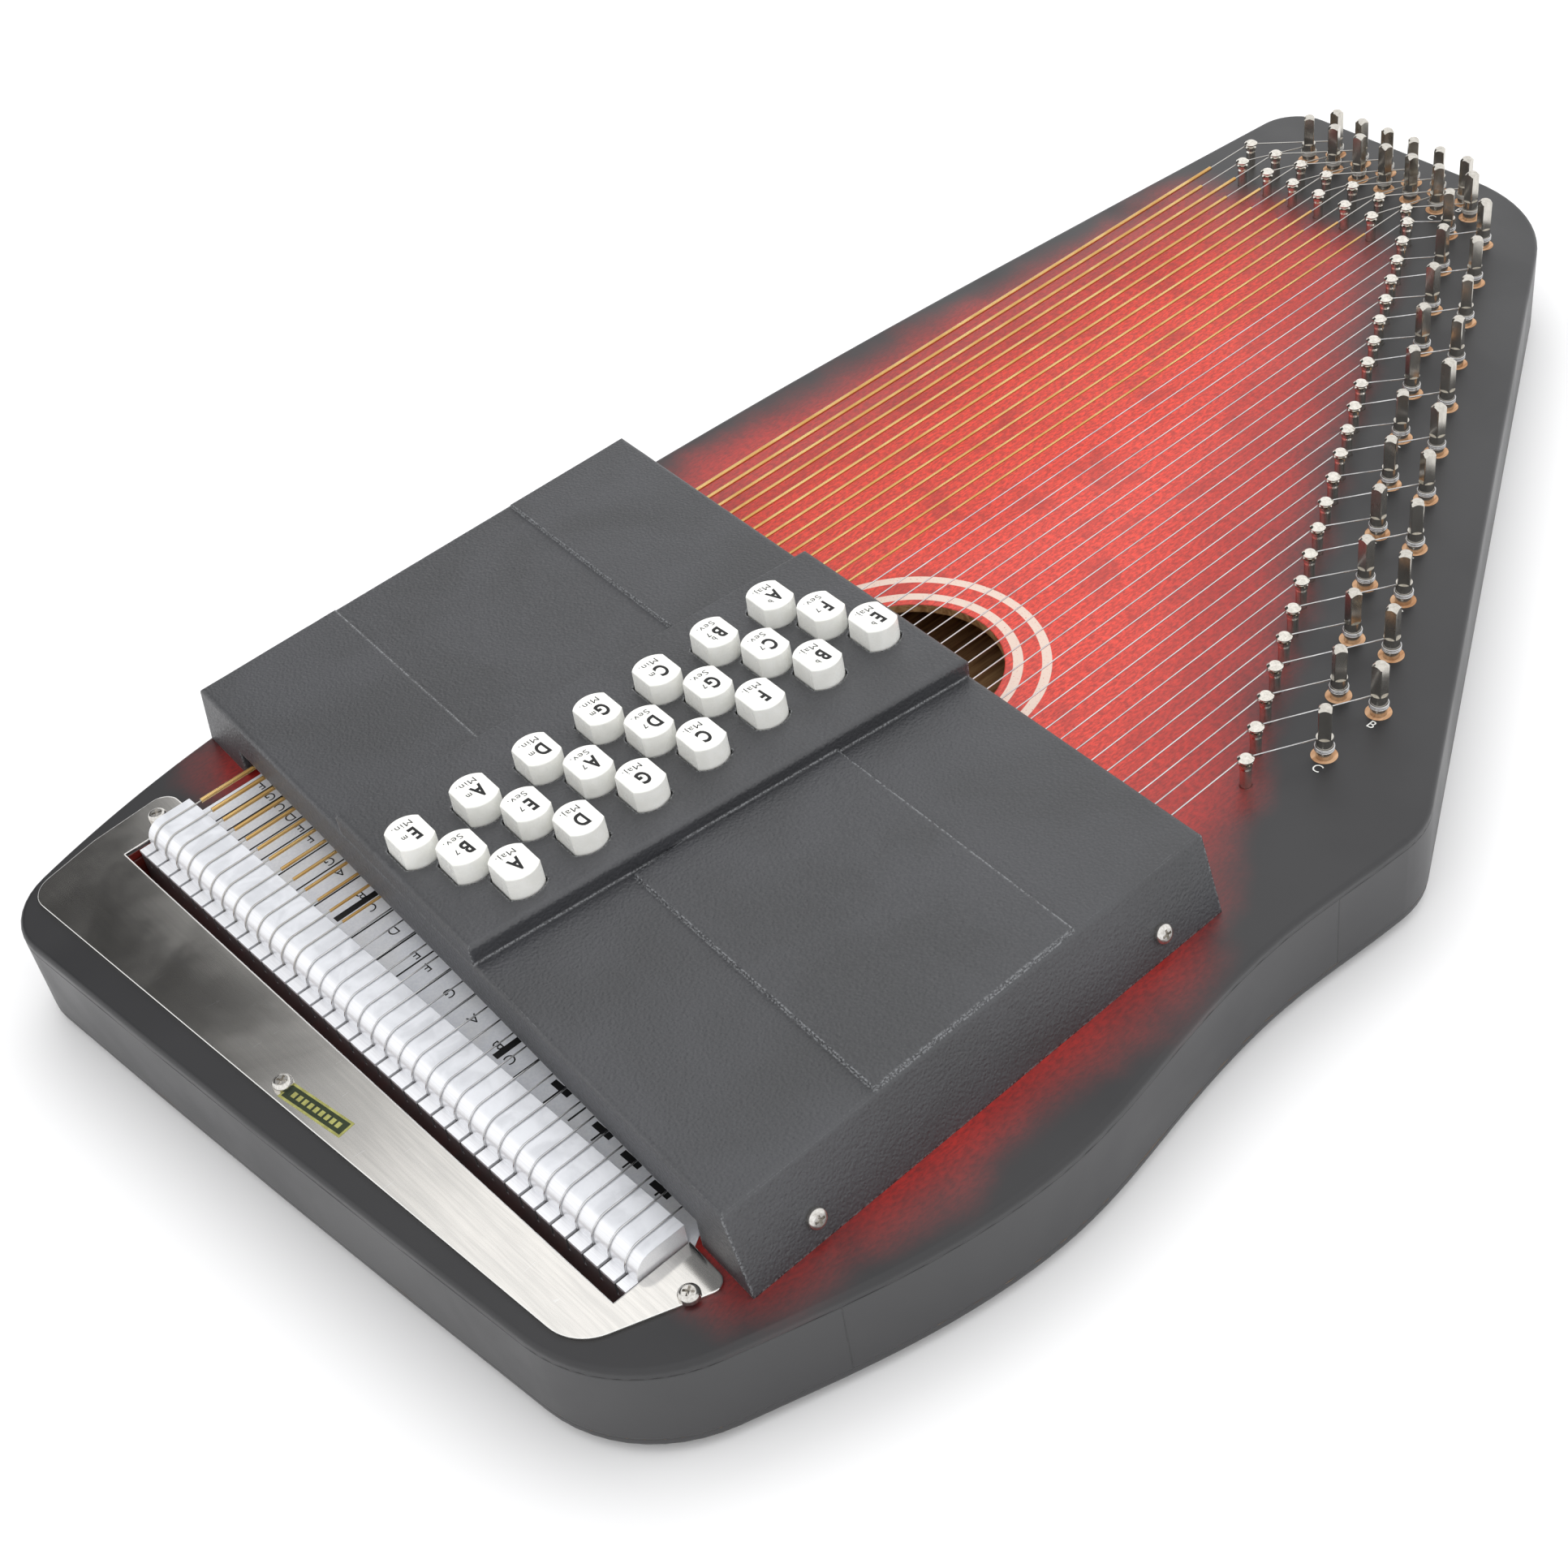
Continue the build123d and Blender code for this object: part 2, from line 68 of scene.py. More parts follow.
def board(point):
    return (Vector(point) - ORIGIN) * 1000


def srgb(r, g, b):
    def linear(c):
        c /= 255
        return c / 12.92 if c <= 0.04045 else ((c + 0.055) / 1.055) ** 2.4
    return (linear(r), linear(g), linear(b), 1)


# ---- material graphs ---------------------------------------------------------

class Look:
    """A procedural material, with its texture coordinates in board millimetres."""

    def __init__(self, name, **sockets):
        self.material = bpy.data.materials.new(name)
        self.material.use_nodes = True
        self.tree = self.material.node_tree
        self.shader = self.tree.nodes["Principled BSDF"]
        for socket, value in sockets.items():
            self.shader.inputs[socket.replace("_", " ")].default_value = value
        place = self.node("ShaderNodeTexCoord")
        self.mm = self.node("ShaderNodeMapping", place.outputs["Object"]).outputs[0]
        scale = self.mm.node.inputs["Scale"]
        scale.default_value = (1000, 1000, 1000)
        self.mm.node.inputs["Location"].default_value = ORIGIN * -1000
        self.parts = None

    def node(self, kind, *inputs, **settings):
        made = self.tree.nodes.new(kind)
        for key, value in settings.items():
            setattr(made, key, value)
        for socket, value in zip(made.inputs, inputs):
            self.feed(socket, value)
        return made

    def feed(self, socket, value):
        if isinstance(value, bpy.types.NodeSocket):
            self.tree.links.new(value, socket)
        elif value is not None:
            socket.default_value = value

    def math(self, operation, *inputs, clamp=False):
        return self.node("ShaderNodeMath", *inputs, operation=operation, use_clamp=clamp).outputs[0]

    def xyz(self):
        if self.parts is None:
            self.parts = self.node("ShaderNodeSeparateXYZ", self.mm).outputs
        return self.parts

    def ramp(self, value, low, high, start=0.0, end=1.0, smooth=True):
        kind = "SMOOTHSTEP" if smooth else "LINEAR"
        made = self.node("ShaderNodeMapRange", value, low, high, start, end,
                         interpolation_type=kind)
        return made.outputs[0]

    def noise(self, scale, detail=2.0, stretch=(1, 1, 1), rough=0.5, distort=0.0):
        """Noise whose grains are about 1/scale millimetres, stretched along the axes."""
        where = self.mm
        if stretch != (1, 1, 1):
            stretched = self.node("ShaderNodeVectorMath", self.mm, stretch, operation="MULTIPLY")
            where = stretched.outputs[0]
        made = self.node("ShaderNodeTexNoise")
        self.feed(made.inputs["Vector"], where)
        made.inputs["Scale"].default_value = scale
        made.inputs["Detail"].default_value = detail
        made.inputs["Roughness"].default_value = rough
        made.inputs["Distortion"].default_value = distort
        return made.outputs["Fac"]

    def mix(self, factor, a, b):
        made = self.node("ShaderNodeMix", data_type="RGBA")
        self.feed(made.inputs[0], factor)
        self.feed(made.inputs[6], a)
        self.feed(made.inputs[7], b)
        return made.outputs[2]

    def between(self, value, low, high, soft=0.05):
        rise = self.ramp(value, low - soft, low + soft)
        fall = self.ramp(value, high - soft, high + soft, 1, 0)
        return self.math("MULTIPLY", rise, fall)

    def colour(self, value):
        self.feed(self.shader.inputs["Base Color"], value)
        return self

    def rough(self, value, low, high, start=0.3, end=0.7):
        self.feed(self.shader.inputs["Roughness"], self.ramp(value, start, end, low, high))
        return self

    def bevel(self, radius):
        made = self.node("ShaderNodeBevel", samples=8)
        made.inputs["Radius"].default_value = radius / 1000
        return made.outputs[0]

    def bump(self, height, depth, under=None):
        """Relief of the given depth in millimetres, over an optional rounded normal."""
        made = self.node("ShaderNodeBump")
        made.inputs["Distance"].default_value = depth / 1000
        made.inputs["Strength"].default_value = 1.0
        self.feed(made.inputs["Height"], height)
        if under is not None:
            self.feed(made.inputs["Normal"], under)
        self.feed(self.shader.inputs["Normal"], made.outputs[0])
        return self

    def edge(self, normal):
        """0 on flat faces, rising to 1 over the rounded edges."""
        flat = self.node("ShaderNodeNewGeometry").outputs["True Normal"]
        dot = self.node("ShaderNodeVectorMath", normal, flat, operation="DOT_PRODUCT")
        return self.ramp(dot.outputs["Value"], 0.995, 0.90)

    def distance(self, x, y):
        """Distance in millimetres from the upright axis through x, y."""
        flat = self.node("ShaderNodeVectorMath", self.mm, (1, 1, 0), operation="MULTIPLY").outputs[0]
        made = self.node("ShaderNodeVectorMath", flat, (x, y, 0), operation="DISTANCE")
        return made.outputs["Value"]


def dress(material, *names):
    for name in names:
        slots = nodes[name].material_slots
        for slot in slots:
            slot.material = material
        if not slots:
            nodes[name].data.materials.append(material)


# ---- woods and lacquer ---------------------------------------------------------

LACQUER = srgb(24, 24, 27)


def lacquer_finish(look, normal_radius=1.0):
    """Satin black lacquer: faint orange peel, soft smudges and slightly uneven gloss."""
    peel = look.noise(0.9, 3)
    smudge = look.noise(0.02, 3, distort=0.6)
    look.rough(smudge, 0.36, 0.47)
    look.bump(peel, 0.012, look.bevel(normal_radius))
    return smudge


def bare_wood_colour(look, pale=srgb(205, 165, 118), dark=srgb(150, 105, 66)):
    grain = look.noise(0.5, 5, (1, 0.06, 1), 0.6, 0.5)
    return look.mix(look.ramp(grain, 0.35, 0.68), pale, dark), grain


def black_and_wood(name, inner_mask):
    """Black lacquer outside and bare wood where inner_mask(look) is 1."""
    look = Look(name, Specular_IOR_Level=0.85)
    smudge = lacquer_finish(look)
    black = look.mix(look.ramp(smudge, 0.3, 0.7), LACQUER, srgb(30, 30, 33))
    wood, grain = bare_wood_colour(look)
    coloured = look.mix(inner_mask(look), black, wood)
    stained = look.mix(look.ramp(grain, 0.3, 0.7), srgb(112, 34, 26), srgb(74, 22, 18))
    look.colour(look.mix(recess(look), coloured, stained))
    return look.material


def faces_in(look):
    """1 on faces that look towards the middle of the body."""
    normal = look.node("ShaderNodeNewGeometry").outputs["True Normal"]
    flat = look.node("ShaderNodeVectorMath", look.mm, (1, 1, 0), operation="MULTIPLY").outputs[0]
    out = look.node("ShaderNodeVectorMath", flat, (5, 240, 0), operation="SUBTRACT").outputs[0]
    dot = look.node("ShaderNodeVectorMath", out, normal, operation="DOT_PRODUCT").outputs["Value"]
    return look.math("LESS_THAN", dot, -0.5)


def recess(look):
    """1 inside the groove that the anchor bar lies in."""
    x, y, z = look.xyz()
    across = look.between(look.math("ABSOLUTE", x), -1, 119)
    return look.math("MULTIPLY", look.math("MULTIPLY", across, look.between(y, -14.3, 11)),
                     look.math("LESS_THAN", z, -0.06))


def faces_up(look):
    normal = look.node("ShaderNodeNewGeometry").outputs["True Normal"]
    return look.math("GREATER_THAN", look.node("ShaderNodeSeparateXYZ", normal).outputs[2], 0.7)


def soundboard_material():
    """Red sunburst that fades to black, with two cream rings round the hole and fine mottling."""
    look = Look("soundboard_sunburst_lacquer", Specular_IOR_Level=0.7)
    x, y, z = look.xyz()
    bass = look.ramp(y, 230, 450, 134, 120, smooth=False)
    treble = look.ramp(y, -5, 60, 133, 147, smooth=False)
    wander = look.ramp(look.noise(0.035, 2), 0.3, 0.7, -3, 3)
    sides = [
        look.math("ADD", x, bass),
        look.math("SUBTRACT", treble, x),
        look.math("SUBTRACT", 467, y),
        look.math("ADD", look.math("MULTIPLY", x, 0.085), look.math("SUBTRACT", y, 14)),
        look.math("ADD", look.math("MULTIPLY", x, -0.864),
                  look.math("MULTIPLY_ADD", y, -0.5037, 203.9)),
    ]
    inside = sides[0]
    for side in sides[1:]:
        inside = look.math("SMOOTH_MIN", inside, side, 24.0)
    inside = look.math("ADD", inside, wander)
    red_share = look.ramp(inside, -14, 13)
    deep_share = look.ramp(inside, 0, 55)
    grain = look.noise(0.7, 6, (1.6, 0.6, 1), 0.7)
    blotch = look.noise(0.055, 4, (1, 0.8, 1), 0.6, 0.4)
    fleck = look.noise(2.4, 3, (1, 0.35, 1), 0.7)
    red = look.mix(look.ramp(grain, 0.36, 0.66), srgb(232, 66, 46), srgb(170, 40, 30))
    red = look.mix(look.ramp(blotch, 0.5, 0.68, 0, 0.5), red, srgb(148, 34, 30))
    red = look.mix(look.ramp(fleck, 0.58, 0.7, 0, 0.45), red, srgb(108, 28, 26))
    rim_red = look.mix(look.ramp(grain, 0.36, 0.66), srgb(168, 26, 18), srgb(124, 18, 15))
    red = look.mix(deep_share, rim_red, red)
    colour = look.mix(red_share, LACQUER, red)
    from_hole = look.distance(1.2, 192.4)
    rings = look.math("ADD", look.between(from_hole, 33.4, 36.5, 0.12),
                      look.between(from_hole, 42.1, 45.1, 0.12), clamp=True)
    worn = look.ramp(look.noise(1.6, 3), 0.25, 0.4)
    colour = look.mix(look.math("MULTIPLY", rings, worn), colour, srgb(226, 204, 190))
    normal = look.node("ShaderNodeNewGeometry").outputs["True Normal"]
    hidden = look.math("LESS_THAN", look.node("ShaderNodeSeparateXYZ", normal).outputs[2], -0.7)
    wood, _ = bare_wood_colour(look)
    hole_wall = look.math("MULTIPLY", look.math("LESS_THAN", from_hole, 31.3),
                          look.math("LESS_THAN", z, -0.15))
    colour = look.mix(look.math("MAXIMUM", hidden, hole_wall), colour, wood)
    stained = look.mix(look.ramp(grain, 0.3, 0.7), srgb(128, 36, 28), srgb(86, 24, 20))
    look.colour(look.mix(recess(look), colour, stained))
    look.rough(look.noise(0.02, 3, distort=0.6), 0.36, 0.47)
    relief = look.math("MULTIPLY_ADD", grain, 0.6, look.noise(0.9, 3))
    look.bump(relief, 0.012, look.bevel(0.8))
    return look.material


dress(soundboard_material(), "soundboard")
dress(black_and_wood("back_board_lacquer", faces_up), "back_board")
dress(black_and_wood("rail_lacquer", faces_in), "side_rails", "tail_block", "pin_block")


def wood_material(name, pale, dark):
    look = Look(name, Specular_IOR_Level=0.3)
    colour, grain = bare_wood_colour(look, pale, dark)
    look.colour(colour).rough(grain, 0.55, 0.75).bump(grain, 0.05)
    return look.material


dress(wood_material("brace_spruce", srgb(222, 188, 138), srgb(184, 142, 92)), "braces")


# ---- plastics, felt and paper ---------------------------------------------------

def cover_material():
    """Fine-grained black moulding with pale specks along its edges, partly worn plastic and partly a
    painted edge highlight.
    """
    look = Look("cover_textured_plastic", Specular_IOR_Level=0.9)
    rounded = look.bevel(1.3)
    edge = look.edge(rounded)
    cells = look.node("ShaderNodeTexVoronoi", feature="SMOOTH_F1")
    look.feed(cells.inputs["Vector"], look.mm)
    cells.inputs["Scale"].default_value = 1.1
    pebbles = cells.outputs["Distance"]
    fine = look.noise(1.5, 3)
    soil = look.noise(0.025, 4, distort=0.5)
    specks = look.ramp(look.noise(1.7, 3), 0.42, 0.58)
    # pale specks on the rounded edges: partly wear, partly painted highlight where light catches the
    # edges
    wear_and_edge_highlight = look.math("MULTIPLY", edge, specks)
    base = look.mix(look.ramp(soil, 0.3, 0.7), srgb(42, 43, 46), srgb(52, 53, 57))
    dust = look.ramp(look.noise(1.3, 4, rough=0.7), 0.66, 0.8, 0, 0.25)
    base = look.mix(dust, base, srgb(92, 93, 96))
    look.colour(look.mix(wear_and_edge_highlight, base, srgb(126, 128, 131)))
    look.rough(fine, 0.42, 0.58)
    look.bump(look.math("MULTIPLY_ADD", fine, 0.8, pebbles), 0.16, rounded)
    return look.material


def black_moulding(name, grey):
    look = Look(name, Specular_IOR_Level=0.4)
    grain = look.noise(1.6, 4)
    look.colour(look.mix(look.ramp(grain, 0.3, 0.7), srgb(*[grey] * 3), srgb(*[grey + 12] * 3)))
    look.rough(grain, 0.45, 0.65).bump(grain, 0.03, look.bevel(0.3))
    return look.material


def button_material():
    """Glossy white moulding with crisp edges and faint handling marks."""
    look = Look("button_white_gloss", Specular_IOR_Level=0.5, Subsurface_Weight=0.06)
    look.shader.inputs["Subsurface Radius"].default_value = (0.001, 0.0009, 0.0008)
    marks = look.noise(0.3, 4, distort=0.4)
    z = look.xyz()[2]
    # the greyer white below about z 22 to 29 mm is painted shade towards the button's base
    painted_base_shade_fade = look.ramp(z, 22, 29)
    shade = look.mix(look.ramp(marks, 0.3, 0.7), srgb(244, 244, 240), srgb(236, 236, 231))
    look.colour(look.mix(painted_base_shade_fade, srgb(214, 214, 208), shade))
    look.rough(marks, 0.22, 0.34).bump(look.noise(0.5, 2), 0.003, look.bevel(0.45))
    return look.material


def bar_material():
    """Brushed aluminium channel over dark felt."""
    look = Look("bar_aluminium_and_felt")
    z = look.xyz()[2]
    felt = look.math("LESS_THAN", z, 15.4)
    brushed = look.noise(1.5, 4, (0.05, 3, 3), 0.6)
    fluff = look.noise(2.5, 5, rough=0.75)
    metal = look.mix(look.ramp(brushed, 0.3, 0.7), srgb(196, 198, 202), srgb(170, 172, 177))
    cloth = look.mix(look.ramp(fluff, 0.35, 0.7), srgb(42, 42, 46), srgb(72, 71, 74))
    look.colour(look.mix(felt, metal, cloth))
    look.feed(look.shader.inputs["Metallic"], look.math("SUBTRACT", 1, felt))
    look.feed(look.shader.inputs["Roughness"], look.ramp(felt, 0, 1, 0.34, 0.95))
    look.bump(look.math("MULTIPLY", fluff, felt), 0.25)
    return look.material


def chart_material():
    look = Look("chart_white_card", Specular_IOR_Level=0.35)
    fibre = look.noise(1.2, 5, rough=0.7)
    aged = look.noise(0.05, 3)
    white = look.mix(look.ramp(fibre, 0.3, 0.7), srgb(240, 242, 247), srgb(228, 231, 238))
    look.colour(look.mix(look.ramp(aged, 0.45, 0.8, 0, 0.35), white, srgb(226, 222, 208)))
    look.rough(fibre, 0.5, 0.62).bump(fibre, 0.01)
    return look.material


def rubber_material():
    look = Look("foot_rubber_matt", Specular_IOR_Level=0.25)
    grain = look.noise(1.8, 5, rough=0.7)
    look.colour(look.mix(look.ramp(grain, 0.3, 0.7), srgb(26, 26, 26), srgb(44, 43, 42)))
    look.rough(grain, 0.75, 0.92).bump(grain, 0.06, look.bevel(0.6))
    return look.material


dress(cover_material(), "chord_cover")
dress(black_moulding("holder_black_plastic", 26), "bar_holders")
dress(button_material(), *["button_" + chord for chord in chords])
dress(bar_material(), *["chord_bar_" + chord for chord in chords])
dress(chart_material(), "note_chart")
dress(rubber_material(), "rubber_feet")


# ---- metals ----------------------------------------------------------------------

def metal(name, bright, dull, low, high, stretch=(1, 1, 1), scale=1.0, depth=0.001):
    """A worn metal: two tones, uneven gloss and fine marks drawn out along the stretch."""
    look = Look(name, Metallic=1.0)
    marks = look.noise(scale, 5, stretch, 0.65)
    cloud = look.noise(0.06, 3, distort=0.5)
    look.colour(look.mix(look.ramp(marks, 0.3, 0.75), srgb(*bright), srgb(*dull)))
    look.rough(look.math("MULTIPLY_ADD", cloud, 0.5, look.math("MULTIPLY", marks, 0.5)), low, high)
    look.bump(marks, depth)
    return look


def anchor_material():
    """Drawn aluminium: satin flat top; the nose and ledge are glossier and painted lighter as a
    painted highlight, and the slots carry painted shade.
    """
    look = Look("anchor_drawn_aluminium", Metallic=0.35)
    z = look.xyz()[2]
    drawn = look.noise(1.4, 5, (0.03, 2.5, 2.5), 0.65)
    stain = look.noise(0.12, 4, distort=0.8)
    # below the flat top the colour turns lighter: a painted highlight on the nose and ledge
    top = look.ramp(z, 6.3, 6.95)
    satin = look.mix(look.ramp(stain, 0.35, 0.7), srgb(230, 232, 237), srgb(212, 214, 219))
    polished = look.mix(look.ramp(drawn, 0.3, 0.7), srgb(244, 245, 248), srgb(228, 229, 233))
    colour = look.mix(top, polished, satin)
    # darker grey inside the slots is painted shade
    slot_painted_shade = look.math("LESS_THAN", z, -0.9)
    look.colour(look.mix(slot_painted_shade, colour, srgb(120, 120, 122)))
    look.feed(look.shader.inputs["Roughness"], look.ramp(top, 0, 1, 0.3, 0.46))
    look.bump(drawn, 0.01, look.bevel(0.25))
    return look.material


def plate_material():
    """Polished stainless sheet with long wipe marks, stray scratches and a paler cut edge."""
    look = Look("plate_stainless_polished", Metallic=1.0)
    wipe = look.noise(0.5, 5, (0.06, 1.6, 1), 0.7, 0.3)
    haze = look.noise(0.03, 4, distort=0.8)
    scratch = look.node("ShaderNodeTexVoronoi", feature="DISTANCE_TO_EDGE")
    tilted = look.node("ShaderNodeMapping", look.mm, vector_type="POINT")
    tilted.inputs["Rotation"].default_value = (0, 0, 0.6)
    tilted.inputs["Scale"].default_value = (1.0, 0.12, 1.0)
    look.feed(scratch.inputs["Vector"], tilted.outputs[0])
    scratch.inputs["Scale"].default_value = 0.09
    line = look.ramp(scratch.outputs["Distance"], 0.0, 0.005, 1, 0)
    broken = look.math("MULTIPLY", line, look.ramp(look.noise(0.12, 2), 0.6, 0.68))
    normal = look.bevel(0.6)
    steel = look.mix(look.ramp(wipe, 0.3, 0.7), srgb(234, 231, 226), srgb(216, 214, 210))
    steel = look.mix(look.edge(normal), steel, srgb(236, 236, 234))
    look.colour(look.mix(broken, steel, srgb(244, 244, 244)))
    look.feed(look.shader.inputs["Roughness"],
              look.math("ADD", look.ramp(haze, 0.3, 0.7, 0.07, 0.13),
                        look.math("MULTIPLY", wipe, 0.05)))
    look.bump(look.math("MULTIPLY_ADD", broken, 1.5, wipe), 0.0008, normal)
    return look.material


def wound_material():
    """Fine bronze wire wrapped round the core."""
    look = Look("string_bronze_wound", Metallic=1.0)
    turns = look.node("ShaderNodeTexWave", bands_direction="Y", wave_type="BANDS")
    look.feed(turns.inputs["Vector"], look.mm)
    turns.inputs["Scale"].default_value = 1.0
    wrap = turns.outputs["Fac"]
    tarnish = look.noise(0.08, 4)
    gold = look.mix(look.ramp(tarnish, 0.3, 0.7), srgb(240, 210, 148), srgb(214, 172, 104))
    # the darker tone in the grooves between wire turns is painted shade
    bronze = look.mix(look.ramp(wrap, 0.1, 0.6), srgb(190, 146, 84), gold)
    x, y, _ = look.xyz()
    number = look.math("ROUND", look.math("MULTIPLY_ADD", x, 1 / STRING_PITCH, MIDDLE_STRING))
    row = look.math("MULTIPLY_ADD", look.math("MODULO", number, 2), -12, 465)
    far_end = look.math("MULTIPLY_ADD", number, -0.48, row)
    wrapped = look.math("MULTIPLY", look.math("GREATER_THAN", y, 12),
                        look.math("LESS_THAN", y, far_end))
    look.colour(look.mix(wrapped, srgb(190, 188, 184), bronze))
    look.rough(tarnish, 0.24, 0.38).bump(look.math("MULTIPLY", wrap, wrapped), 0.03)
    return look.material


steel_wire = metal("string_plain_steel", (214, 214, 214), (178, 178, 180), 0.16, 0.3,
                   (1, 0.1, 1), 0.6)
dress(steel_wire.material, "plain_strings")
dress(wound_material(), "wound_strings")
dress(anchor_material(), "anchor_bar")
dress(plate_material(), "tail_plate")
tuner = metal("tuner_dark_nickel", (208, 204, 196), (188, 184, 176), 0.14, 0.28,
              (1, 1, 0.3), 0.8, 0.0004)
dress(tuner.material, "tuning_pins")
pin = metal("guide_pin_nickel", (230, 226, 218), (204, 199, 190), 0.10, 0.18,
            (1, 1, 0.5), 0.8, 0.0003)
dress(pin.material, "guide_pins")
screw = metal("screw_nickel", (222, 220, 216), (184, 180, 174), 0.14, 0.26, (1, 1, 1), 1.0, 0.0005)
dress(screw.material, "screws")
spring_steel = metal("spring_bright_steel", (198, 198, 200), (150, 150, 154), 0.2, 0.34,
                     (1, 1, 3), 1.5)
dress(spring_steel.material, "bar_springs")


# ---- pieces made here --------------------------------------------------------------

def piece(name, bm, material, body):
    mesh = bpy.data.meshes.new(name)
    bm.to_mesh(mesh)
    bm.free()
    made = bpy.data.objects.new(name, mesh)
    bpy.context.scene.collection.objects.link(made)
    mesh.materials.append(material)
    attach(made, body)
    return made


def letter_mesh(words, bold, spacing):
    """Flat letters one font size high, as a mesh."""
    curve = bpy.data.curves.new("words", "FONT")
    curve.body = words
    curve.offset = bold
    curve.space_character = spacing
    curve.resolution_u = 4
    holder = bpy.data.objects.new("words", curve)
    bpy.context.scene.collection.objects.link(holder)
    bpy.context.view_layer.update()
    shaped = holder.evaluated_get(bpy.context.evaluated_depsgraph_get())
    flat = bpy.data.meshes.new_from_object(shaped)
    bpy.data.objects.remove(holder)
    bpy.data.curves.remove(curve)
    return flat


CAP = max(vertex.co.y for vertex in letter_mesh("H", 0.0, 1.0).vertices)


def add_text(bm, words, cap, place, right, up, bold=0.0, narrow=1.0, spacing=1.0):
    """Flat letters of cap height cap mm, centred on place, in the board frame."""
    flat = letter_mesh(words, bold, spacing)
    size = cap / CAP
    middle = (min(v.co.x for v in flat.vertices) + max(v.co.x for v in flat.vertices)) / 2
    right, up = Vector(right), Vector(up)
    for vertex in flat.vertices:
        across = (vertex.co.x - middle) * size * narrow
        along = vertex.co.y * size - cap / 2
        vertex.co = at(*(Vector(place) + right * across + up * along))
    bm.from_mesh(flat)
    bpy.data.meshes.remove(flat)


def add_patch(bm, corners, z):
    bm.faces.new([bm.verts.new(at(x, y, z)) for x, y in corners])


def add_cone_ring(bm, x, y, inner, outer, z_inner, z_outer, steps=28):
    rings = []
    for radius, z in ((inner, z_inner), (outer, z_outer)):
        turn = [2 * math.pi * i / steps for i in range(steps)]
        rings.append([bm.verts.new(at(x + radius * math.cos(a), y + radius * math.sin(a), z))
                      for a in turn])
    for i in range(steps):
        j = (i + 1) % steps
        bm.faces.new((rings[0][i], rings[1][i], rings[1][j], rings[0][j]))


def ink_material(name, colour, worn):
    look = Look(name, Specular_IOR_Level=0.4)
    wear = look.noise(4.0, 3)
    look.colour(look.mix(look.ramp(wear, 0.45, 0.8), srgb(*colour), srgb(*worn)))
    look.rough(wear, 0.4, 0.6).bump(wear, 0.004)
    return look.material


black_ink = ink_material("printed_black_ink", (16, 16, 18), (40, 40, 42))
white_ink = ink_material("printed_white_ink", (226, 226, 222), (196, 196, 192))

# Button legends. Their tops point to the treble side.
QUALITY = {"m": "Min.", "7": "Sev."}
for chord in chords:
    low, high = (board(corner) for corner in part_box("button_" + chord))
    x, y, z = (low.x + high.x) / 2, (low.y + high.y) / 2, high.z + PRINT_RISE
    right, up = (0, -1, 0), (1, 0, 0)
    root, rest = chord[0].upper(), chord[1:]
    flat_sign, tail = rest.startswith("b"), rest.lstrip("b")
    bm = bmesh.new()
    shift = 0.9 if rest else 0.0
    add_text(bm, root, 4.9, (x + 1.5, y + shift, z), right, up, 0.035, 0.66)
    if flat_sign:
        add_text(bm, "b", 1.9, (x + 2.7, y - 1.9, z), right, up, 0.012, 0.85)
    if tail:
        drop = 0.2 if flat_sign else 1.1
        add_text(bm, tail, 1.9, (x + drop, y - 2.1, z), right, up, 0.012, 0.85)
    add_text(bm, QUALITY.get(tail, "Maj."), 2.1, (x - 3.4, y, z), right, up, -0.002, 1.08, 1.12)
    piece("legend_" + chord, bm, black_ink, "bar_" + chord)


def string_x(k):
    return (k - MIDDLE_STRING) * STRING_PITCH


def tuning_pin_place(k):
    j, far = k // 2, k % 2 == 0
    if j < 6:
        return (-89.4 + 12.1 * j, 512.4 - 0.5 * j) if far else (-95.4 + 12.3 * j, 503.6 - 0.7 * j)
    if j == 6:
        return (-21.0, 502.3) if far else (-20.0, 487.7)
    m = j - 7
    return (-5.9 + 12.72 * m, 489.0 - 22.37 * m) if far else (-7.2 + 12.83 * m, 466.8 - 22.54 * m)


BASS_NOTES = [41, 43, 48, 50, 52, 53, 54, 55, 57, 58, 59]
NOTES = BASS_NOTES + list(range(60, 85))
NATURALS = {0: "C", 2: "D", 4: "E", 5: "F", 7: "G", 9: "A", 11: "B"}

letters, rings = bmesh.new(), bmesh.new()
for k, note in enumerate(NOTES):
    x, y = tuning_pin_place(k)
    add_cone_ring(rings, x, y, 2.46, 3.85, -0.25, 0.04)
    if note % 12 in NATURALS:
        add_text(letters, NATURALS[note % 12], 3.0, (x + 2.0, y - 5.5, 0.04),
                 (1, 0, 0), (0, 1, 0), 0.0, 0.95)
piece("pin_letters", letters, white_ink, "zither")
ring_look = Look("pin_hole_bare_wood", Specular_IOR_Level=0.3)
ring_colour, ring_grain = bare_wood_colour(ring_look, srgb(226, 184, 146), srgb(186, 136, 96))
ring_look.colour(ring_colour).rough(ring_grain, 0.6, 0.8).bump(ring_grain, 0.05)
piece("pin_wood_rings", rings, ring_look.material, "zither")

# Note chart printing: a line between neighbouring notes, a thick bar at each octave, and letters.
CHART_Z = 0.25 + 0.03
naturals = [(string_x(k), note % 12) for k, note in enumerate(NOTES) if note % 12 in NATURALS]
bm = bmesh.new()


def chart_front(x):
    return 12.2 if x < 60 else 13.0


